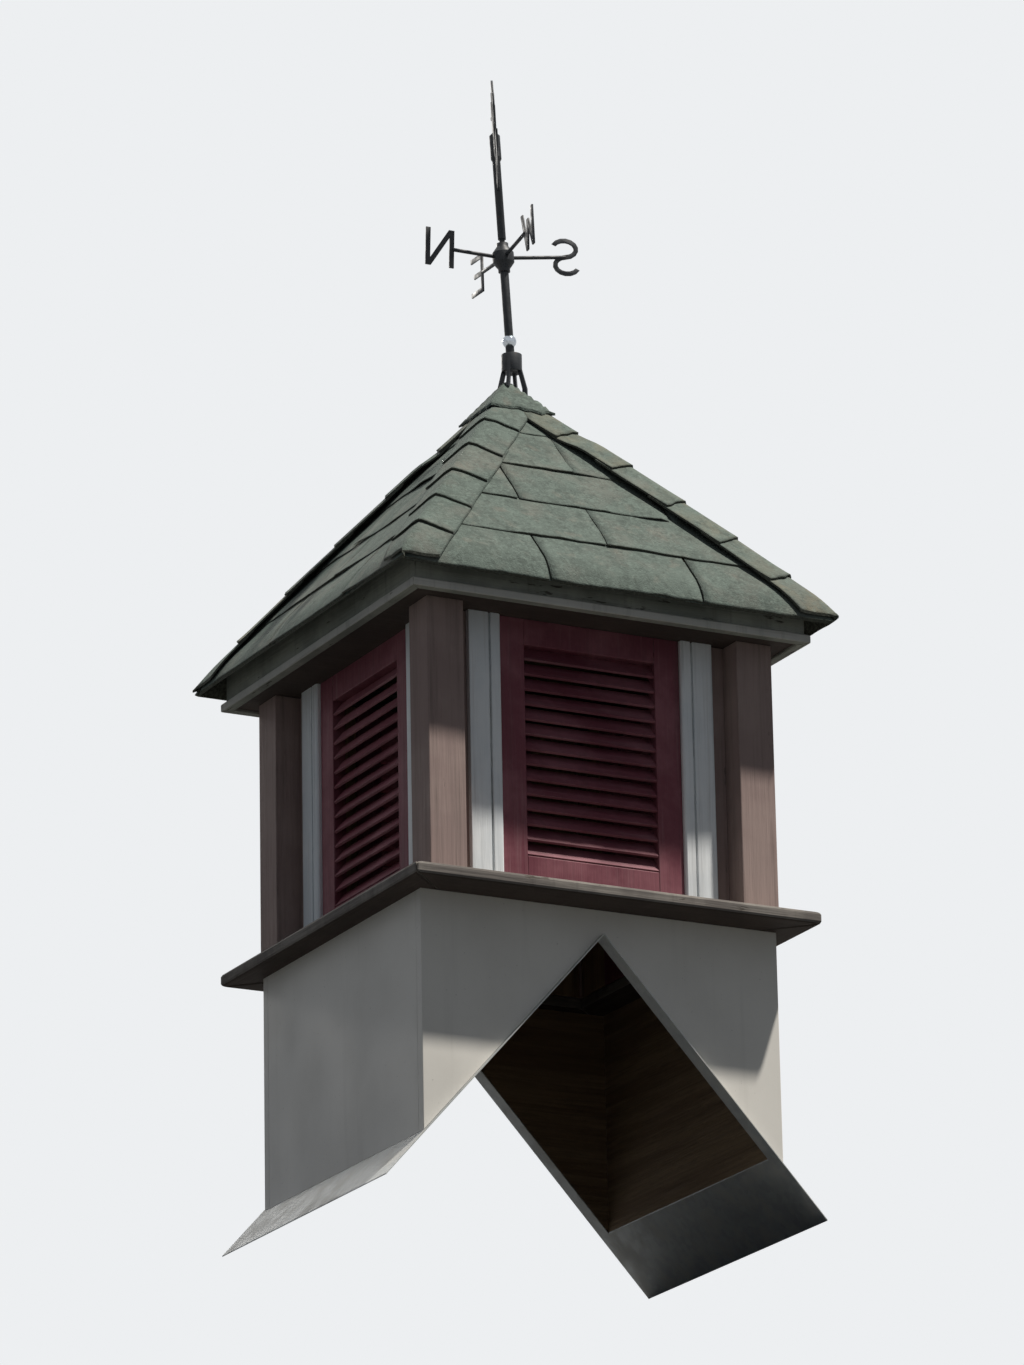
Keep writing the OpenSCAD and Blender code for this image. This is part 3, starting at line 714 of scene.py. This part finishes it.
def mitred(bm, degrees, material=0):
    """Cuts what lies on one slope along its two hips"""
    turn = Matrix.Rotation(math.radians(degrees), 3, "Z")
    for hand in (-1, 1):
        cut_outside(bm, (0, 0, 0), turn @ Vector((hand, 1, 0)), material)


def hang(up, degrees, roof):
    """How far old shingles hang down at a distance up from the eaves on one side"""
    most = roof.front_sag if degrees % 360 == 0 else roof.sag
    return most * max(0.0, 1 - up / roof.sag_reach) ** 2


def ease_in(value):
    """Runs smoothly from 0 to 1"""
    value = min(1.0, max(0.0, value))
    return value * value * (3 - 2 * value)


def drift(*place):
    """Smooth random value between about -1 and 1 at a place"""
    return noise.noise(Vector(place))


class CUPOLA_OT_deck(bpy.types.Operator):
    """Roof boards under the shingles, which end just outside the fascia"""

    bl_idname = "cupola.deck"
    bl_label = "Roof boards"

    def execute(self, context):
        board, joint, overhang = 0.139, 0.002, 0.006
        foot = (EAVE_HALF - FASCIA_HALF - overhang) / math.cos(PITCH)
        middle_n = DECK_TOP - DECK_T / 2
        for side, degrees in SIDES.items():
            bm = bmesh.new()
            start = foot
            while start < SLOPE_L:
                size = (2 * EAVE_HALF, board - joint, DECK_T)
                bar(bm, (0, start + board / 2, middle_n), size, SAWN_EDGE)
                start += board
            bmesh.ops.transform(bm, matrix=slope_place(degrees), verts=bm.verts)
            mitred(bm, degrees)
            piece(f"roof_{side}_boards", bm, [bare_boards(level_grain(side))],
                  replaces=(f"roof_{side}",))
        return {"FINISHED"}


def shingle_leaf(bm, columns, rows, lay, tone, flush=False):
    """Adds one closed shingle; lay(across, up, under) gives a point of it and how far up its face it is

    The sides of a flush one take the granules' colour too: a painted highlight on cut edges that are
    really dark asphalt."""
    tones = bm.faces.layers.float.get("tone") or bm.faces.layers.float.new("tone")
    rises = bm.verts.layers.float.get("rise") or bm.verts.layers.float.new("rise")
    upper = bmesh.ops.create_grid(bm, x_segments=columns, y_segments=rows, size=0.5)["verts"]
    faces = list({f for v in upper for f in v.link_faces})
    grown = bmesh.ops.extrude_face_region(bm, geom=faces)["geom"]
    lower = {g for g in grown if isinstance(g, bmesh.types.BMVert)}
    sides = {v for v in [*upper, *lower] if abs(v.co.x) > 0.49}
    top = set(faces)
    for vert in [*upper, *lower]:
        vert.co, vert[rises] = lay(vert.co.x + 0.5, vert.co.y + 0.5, vert in lower)
    for face in {f for v in upper for f in v.link_faces} | {f for v in lower for f in v.link_faces}:
        face[tones] = tone
        face.material_index = 0 if face in top or flush and sides.issuperset(face.verts) else 1
        face.smooth = face in top


class CUPOLA_OT_shingles(bpy.types.Operator):
    """Courses of three-tab shingles: slots, curled corners, uneven edges, eaves that hang"""

    bl_idname = "cupola.shingles"
    bl_label = "Shingles"

    def execute(self, context):
        roof = context.scene.cupola_roof
        for number, (side, degrees) in enumerate(SIDES.items()):
            draw = random.Random(roof.seed + number)
            bm = bmesh.new()
            for course in range(-1, math.ceil(SLOPE_L / roof.course)):
                self.course(bm, course, degrees, roof, draw)
            facing_out(bm)
            bmesh.ops.transform(bm, matrix=slope_place(degrees), verts=bm.verts)
            mitred(bm, degrees, 1)
            piece(f"roof_{side}_shingles", bm, [mineral_shingles(), asphalt_core()],
                  replaces=(f"roof_{side}",))
        return {"FINISHED"}

    def course(self, bm, course, degrees, roof, draw):
        """One row of tabs; row -1 is the starter strip, of which only the upper part lies on the roof"""
        half = EAVE_HALF - max(course, 0) * roof.course * math.cos(PITCH)
        shift, openness = SLOTS[course % len(SLOTS)]
        if degrees:
            shift += draw.uniform(-SLOT_SHIFT, SLOT_SHIFT)
        first = math.floor((-half - shift) / roof.tab)
        last = math.ceil((half - shift) / roof.tab)
        for i in range(first, last):
            self.tab(bm, course, shift + i * roof.tab, openness * roof.slot, degrees, roof, draw)

    def tab(self, bm, course, left, slot, degrees, roof, draw):
        """One tab, which thins to nothing under the next course but one"""
        start = course * roof.course
        hidden = 0.95 * roof.course
        curls = [roof.curl * draw.random() ** 2 for _ in range(2)]
        skew = draw.uniform(-TAB_SKEW, TAB_SKEW)
        phase = draw.uniform(0, 50)
        trim = [draw.uniform(0.3, 0.7) * slot for _ in range(2)]
        lean = draw.uniform(-TAB_LEAN, TAB_LEAN)
        tone = draw.uniform(-1, 1)

        def lay(across, up, under):
            depth = up ** 1.5 * (roof.course + hidden)
            if course < 0:
                depth = roof.course + up * hidden
            uneven = max(0, 1 - depth / UNEVEN_REACH)
            wave = drift(9 * across + phase, start * 9, 0) * BUTT_WANDER
            u = left + trim[0] + across * (roof.tab - trim[0] - trim[1])
            if across in (0, 1):
                u += drift(phase, 30 * depth, across) * SIDE_RAGS + lean * uneven
            s = start + depth + (wave + skew * (across - 0.5)) * uneven
            beside_hip = (EAVE_HALF - s * math.cos(PITCH) - abs(u)) * SLOPE_L / HIP_L
            curl = max(0, 1 - 4 * across) * curls[0] + max(0, 4 * across - 3) * curls[1]
            curl += LOOSE_EDGE + abs(wave) / 2
            loose = course >= 0 and beside_hip > roof.cap_reach + CAP_HOLDS
            n = (curl * math.exp(-depth / CURL_REACH) if loose else 0) - LAYER * depth / roof.course
            n += drift(8 * u, 8 * s, degrees) * SWELL - hang(s, degrees, roof)
            sealed = min(1, max(0, 0.5 + 2 * drift(9 * u, 5 * start, degrees + 1)))
            worn = 0.75 * sealed * math.exp(-depth / SEALED_REACH) if course > 0 else 0
            n -= LAYER * (min(1, max(0.02, 2 - depth / roof.course)) if under else worn)
            return Vector((u, s, n)), depth / roof.course

        shingle_leaf(bm, 16, 14, lay, tone)


class CUPOLA_OT_hip_caps(bpy.types.Operator):
    """Folded caps along the hips, which the weather has lifted on two of them, and the cap of the apex"""

    bl_idname = "cupola.hip_caps"
    bl_label = "Hip caps"

    def execute(self, context):
        roof = context.scene.cupola_roof
        draw = random.Random(roof.cap_seed)
        left_bare = 0.02
        for corner, degrees in CORNERS.items():
            bm = bmesh.new()
            for number in range(math.ceil((HIP_L - left_bare) / roof.course)):
                self.cap(bm, number, corner in LIFTED, roof, draw)
            facing_out(bm)
            for outward in ((-1, 0, 0), (0, -1, 0)):
                cut_outside(bm, EAVE_HALF * Vector(outward), outward, 1)
                cut_outside(bm, (0, 0, 0), -Vector(outward), 1)
            self.hung(bm, degrees, roof)
            turned(bm, degrees)
            piece(f"hip_caps_{corner}_folded", bm, [mineral_shingles(), asphalt_core()],
                  replaces=(f"hip_caps_{corner}",))
        self.apex(draw)
        return {"FINISHED"}

    def cap(self, bm, number, lifted, roof, draw):
        """One cap, folded over the front left hip, with its upper end under the next"""
        along = Vector((EAVE_HALF, EAVE_HALF, ROOF_RISE)).normalized()
        front = Vector((0, -math.sin(PITCH), math.cos(PITCH)))
        left = Vector((-math.sin(PITCH), 0, math.cos(PITCH)))
        out = (front + left).normalized()
        corner = Vector((-EAVE_HALF, -EAVE_HALF, EAVE_Z))
        foot = number * roof.course
        lap, uneven_reach, flare_reach, more_flare = 0.04, 0.05, 0.025, 0.0006
        tone = draw.uniform(-1, 1) + (2 if lifted else 0)
        phase = draw.uniform(0, 50)
        flare = draw.uniform(0.0, more_flare) + CAP_FLARES[min(number, 2)]
        skew = draw.uniform(-CAP_SKEW, CAP_SKEW)

        def lay(across, up, under):
            w = (2 * across - 1) * roof.cap_reach
            depth = up ** 1.3 * (roof.course + lap)
            wave = drift(7 * across + phase, foot * 7, 1) * CAP_WANDER
            h = foot + depth + (skew * (2 * across - 1) + wave) * max(0, 1 - depth / uneven_reach)
            if across in (0, 1):
                w += drift(phase, 14 * h, across) * CAP_RAGS
            out_to = abs(w) / roof.cap_reach
            n = 2 * CAP_T - CAP_T * min(depth / roof.course, 1)
            n += flare * math.exp(-depth / flare_reach) + flare * 0.6 * out_to ** 3
            if lifted:
                loose = ease_in(h / LIFT_STARTS) * ease_in((HIP_L - LIES_FLAT - h) / LIFT_ENDS)
                n += loose * (roof.cap_lift + roof.cap_spread * out_to ** 1.5)
            if under:
                n -= CAP_T * (1 if lifted else min(1, max(0.2, n / CAP_T)))
            n -= FOLD_DROP * math.exp(-(w / FOLD_W) ** 2)
            side = along.cross(front) if w > 0 else left.cross(along)
            return corner + along * h + out * (n / HIP_TILT) + side * abs(w), depth / roof.course

        # Caps that lie flush get granule-coloured sides: a painted highlight along their cut edges
        shingle_leaf(bm, 16, 10, lay, tone, not lifted)

    def hung(self, bm, degrees, roof):
        """Lets the lowest caps hang down with the shingles of both slopes"""
        blend_w = 0.03
        front = Vector((0, -math.sin(PITCH), math.cos(PITCH)))
        left = Vector((-math.sin(PITCH), 0, math.cos(PITCH)))
        for vert in bm.verts:
            x, y, z = vert.co
            share = ease_in(0.5 + (x - y) / blend_w)
            climb = (z - EAVE_Z) * math.sin(PITCH)
            front_up = (y + EAVE_HALF) * math.cos(PITCH) + climb
            left_up = (x + EAVE_HALF) * math.cos(PITCH) + climb
            drop = front * share * hang(front_up, degrees, roof)
            drop += left * (1 - share) * hang(left_up, degrees + 270, roof)
            vert.co -= drop * (1 + (1 / HIP_TILT ** 2 - 1) * 4 * share * (1 - share))

    def apex(self, draw):
        """The folded square of shingle over the top ends of the caps"""
        bm = bmesh.new()
        rise = 2 * CAP_T / math.cos(PITCH)
        thick = LAYER / math.cos(PITCH)
        blunt, swollen_from, swell, rags = 0.004, 0.03, 0.0012, 0.12

        def lay(across, up, under):
            x = (2 * across - 1) * APEX_CAP_HALF
            y = (2 * up - 1) * APEX_CAP_HALF
            reach = max(abs(x), abs(y), blunt)
            z = APEX_Z - reach * math.tan(PITCH) + rise + (0 if under else thick)
            z += swell * drift(20 * x, 20 * y, 5) if reach > swollen_from else 0
            ragged = 1 + rags * drift(45 * x, 45 * y, 9) * ease_in(reach / APEX_CAP_HALF)
            z -= (ragged - 1) * reach * math.tan(PITCH)
            return Vector((x * ragged, y * ragged, z)), 0.5

        shingle_leaf(bm, 16, 16, lay, draw.uniform(-0.5, 0.5))
        facing_out(bm)
        # The cap's cut edges take the granules' colour too: a painted highlight in place of their dark
        # asphalt
        piece("apex_cap_folded", bm, [mineral_shingles()] * 2, replaces=("apex_cap",))


# Weather vane


# Feathers of the cockerel, each from start to tip, and its eye, in shares of its height from its foot
WING = (((0.16, 0.46), (-0.24, 0.36)), ((0.10, 0.40), (-0.20, 0.29)), ((0.20, 0.52), (-0.22, 0.45)))
TAIL = (((-0.22, 0.42), (-0.36, 0.82)), ((-0.24, 0.38), (-0.52, 0.76)), ((-0.26, 0.33), (-0.62, 0.60)))
EYE = (0.43, 0.86)


def vane_place():
    """Matrix from the plate's own plane (along the arrow, up the sleeve) to its place at rest"""
    joint = frame["joints"][0]
    lean = math.asin(joint["axis"][0])
    turn = Matrix.Rotation(lean, 4, "Y") @ Matrix.Rotation(VANE_HEADING, 4, "Z")
    return Matrix.Translation(joint["pos_m"]) @ turn @ Matrix.Rotation(math.radians(90), 4, "X")


def feather(bm, start, tip, width, thick):
    """Adds a raised leaf shape from a start to a tip, on both faces of the plate"""
    a, b = (Vector((x * FIGURE_H, FIGURE_FOOT + z * FIGURE_H, 0)) for x, z in (start, tip))
    along = b - a
    turn = Matrix.Rotation(math.atan2(along.y, along.x), 4, "Z")
    taper, shorter, narrower, sunk = 0.45, 0.06, 0.75, 0.0002
    for hand in (-1, 1):
        rim = bmesh.ops.create_circle(bm, cap_ends=True, segments=24, radius=1.0)["verts"]
        for vert in rim:
            lengthways = vert.co.x
            vert.co.x = (1 + lengthways) / 2 * along.length
            vert.co.y *= width * FIGURE_H / 2 * (1 - taper * lengthways)
        face = next(f for f in rim[0].link_faces if len(f.verts) == 24)
        grown = bmesh.ops.extrude_face_region(bm, geom=[face])["geom"]
        high = [g for g in grown if isinstance(g, bmesh.types.BMVert)]
        for vert in high:
            vert.co.z = thick
            vert.co.x += (along.length / 2 - vert.co.x) * shorter
            vert.co.y *= narrower
        whole = [*rim, *high]
        shift = Matrix.Translation(a) @ turn
        for vert in whole:
            vert.co = shift @ vert.co
            vert.co.z = hand * (PLATE_T / 2 - sunk + vert.co.z)


class CUPOLA_OT_vane(bpy.types.Operator):
    """Mount, mast, ball, compass, and the vane that turns: its sleeve, its plate and the relief on it"""

    bl_idname = "cupola.vane"
    bl_label = "Weather vane"

    def execute(self, context):
        for node in ("vane_mount", "mast", "compass_hub", "compass_rod_ns", "compass_rod_ew"):
            dressed(node, IRON_EDGE, [black_iron()], sharp=CREASE)
        dressed("mast_ball", BALL_EDGE, [polished_steel()], sharp=math.radians(50))
        for node in ("vane_sleeve", "vane_plate"):
            dressed(node, IRON_EDGE, [black_iron()], body="vane", sharp=CREASE)
        self.relief()
        return {"FINISHED"}

    def relief(self):
        """Wing and tail feathers of the cockerel, and its eyes"""
        bm = bmesh.new()
        for feathers, width, thick in ((WING, 0.13, 0.0014), (TAIL, 0.08, 0.0012)):
            for start, tip in feathers:
                feather(bm, start, tip, width, thick)
        ahead, high = (share * FIGURE_H for share in EYE)
        size = Matrix.Diagonal((0.004, 0.004, 0.0015, 1.0))
        for hand in (-1, 1):
            eye = Matrix.Translation((ahead, FIGURE_FOOT + high, hand * PLATE_T / 2))
            bmesh.ops.create_icosphere(bm, subdivisions=2, radius=1.0, matrix=eye @ size)
        facing_out(bm)
        bmesh.ops.transform(bm, matrix=vane_place(), verts=bm.verts)
        piece("vane_plate_relief", bm, [black_iron()], body="vane", sharp=CREASE)


# Stage


class CUPOLA_OT_stage(bpy.types.Operator):
    """Floor, lights, backdrop and camera"""

    bl_idname = "cupola.stage"
    bl_label = "Stage"

    def execute(self, context):
        studio = context.scene.cupola_studio
        self.floor(studio)
        self.backdrop(context, studio)
        self.lamp(context, "key", studio.key, studio.key_soft, KEY_FROM)
        self.lamp(context, "back", studio.back, 5 * studio.key_soft, BACK_FROM)
        self.camera(context)
        context.scene.view_settings.view_transform = "Standard"
        return {"FINISHED"}

    def floor(self, studio):
        """Floor that is seen from above only, because the camera looks up from below it

        It looks pale, but throws little light up at what faces down."""
        bm = bmesh.new()
        bmesh.ops.create_grid(bm, x_segments=1, y_segments=1, size=studio.floor / 2)
        mesh = bpy.data.meshes.new("floor")
        bm.to_mesh(mesh)
        bm.free()
        ground = bpy.data.objects.new("floor", mesh)
        bpy.context.scene.collection.objects.link(ground)
        material = bpy.data.materials.new("stage_floor")
        material.use_nodes = True
        tree = material.node_tree
        shader = tree.nodes["Principled BSDF"]
        shader.inputs["Roughness"].default_value = 0.9
        colour = laid_over(tree, "323434", (self.seen(tree), "A3A5A7"))
        tree.links.new(colour, shader.inputs["Base Color"])
        clear = add(tree, "ShaderNodeBsdfTransparent").outputs[0]
        behind = add(tree, "ShaderNodeNewGeometry").outputs["Backfacing"]
        both = add(tree, "ShaderNodeMixShader", {0: behind, 1: shader.outputs[0], 2: clear}).outputs[0]
        tree.links.new(both, tree.nodes["Material Output"].inputs["Surface"])
        mesh.materials.append(material)

    def seen(self, tree):
        """1 for rays that show the background: straight to the camera, in a gloss or through glass"""
        path = add(tree, "ShaderNodeLightPath").outputs
        feeds = {0: path["Is Camera Ray"], 1: path["Is Glossy Ray"]}
        feeds = {0: add(tree, "ShaderNodeMath", feeds, operation="MAXIMUM").outputs[0],
                 1: path["Is Transmission Ray"]}
        return add(tree, "ShaderNodeMath", feeds, operation="MAXIMUM").outputs[0]

    def backdrop(self, context, studio):
        """Even bluish light all round, with a pale colour where it is seen"""
        world = bpy.data.worlds.new("studio")
        world.use_nodes = True
        context.scene.world = world
        tree = world.node_tree
        fill = tree.nodes["Background"]
        fill.inputs["Color"].default_value = rgba("D0DCF0")
        fill.inputs["Strength"].default_value = studio.fill
        pale = add(tree, "ShaderNodeBackground", {"Color": rgba(studio.backdrop), "Strength": 1.0})
        feeds = {0: self.seen(tree), 1: fill.outputs[0], 2: pale.outputs[0]}
        both = add(tree, "ShaderNodeMixShader", feeds).outputs[0]
        tree.links.new(both, tree.nodes["World Output"].inputs["Surface"])

    def lamp(self, context, name, strength, softness, direction):
        """Soft, slightly warm light from a direction"""
        sun = bpy.data.lights.new(name, "SUN")
        sun.energy = strength
        sun.angle = softness
        sun.color = linear("FFFAF2")
        lamp = bpy.data.objects.new(name, sun)
        lamp.rotation_euler = Vector(direction).to_track_quat("Z", "Y").to_euler()
        context.scene.collection.objects.link(lamp)

    def camera(self, context):
        """Long lens that looks up from the photographer's place"""
        lens = bpy.data.cameras.new("camera")
        lens.lens = CAMERA_LENS
        lens.clip_end = 200
        viewer = bpy.data.objects.new("camera", lens)
        aim = (CAMERA_AIM - CAMERA).to_track_quat("-Z", "Y").to_matrix().to_4x4()
        viewer.matrix_world = Matrix.Translation(CAMERA) @ aim @ Matrix.Rotation(CAMERA_ROLL, 4, "Z")
        context.scene.collection.objects.link(viewer)
        context.scene.camera = viewer


STEPS = (CUPOLA_OT_stage, CUPOLA_OT_base, CUPOLA_OT_shelf, CUPOLA_OT_storey, CUPOLA_OT_louvres,
         CUPOLA_OT_eaves, CUPOLA_OT_deck, CUPOLA_OT_shingles, CUPOLA_OT_hip_caps, CUPOLA_OT_vane)
SETTINGS = {"cupola_roof": CupolaRoof, "cupola_wood": CupolaWood, "cupola_colours": CupolaColours,
            "cupola_studio": CupolaStudio}


class CUPOLA_PT_panel(bpy.types.Panel):
    """Lists the pieces of the cupola and their settings"""

    bl_idname = "CUPOLA_PT_panel"
    bl_label = "Cupola"
    bl_space_type = "VIEW_3D"
    bl_region_type = "UI"
    bl_category = "Cupola"

    def draw(self, context):
        for step in STEPS:
            self.layout.operator(step.bl_idname)
        for name, group in SETTINGS.items():
            box = self.layout.box()
            for setting in group.__annotations__:
                box.prop(getattr(context.scene, name), setting)


def register():
    """Registers the settings, the operators and the panel"""
    for group in SETTINGS.values():
        bpy.utils.register_class(group)
    for name, group in SETTINGS.items():
        setattr(bpy.types.Scene, name, bpy.props.PointerProperty(type=group))
    for kind in (*STEPS, CUPOLA_PT_panel):
        bpy.utils.register_class(kind)


def unregister():
    """Removes what register added"""
    for kind in (CUPOLA_PT_panel, *reversed(STEPS)):
        bpy.utils.unregister_class(kind)
    for name, group in SETTINGS.items():
        delattr(bpy.types.Scene, name)
        bpy.utils.unregister_class(group)


def main():
    """Registers the settings and builds every piece"""
    register()
    for step in STEPS:
        group, action = step.bl_idname.split(".")
        getattr(getattr(bpy.ops, group), action)()


if __name__ == "__main__":
    main()
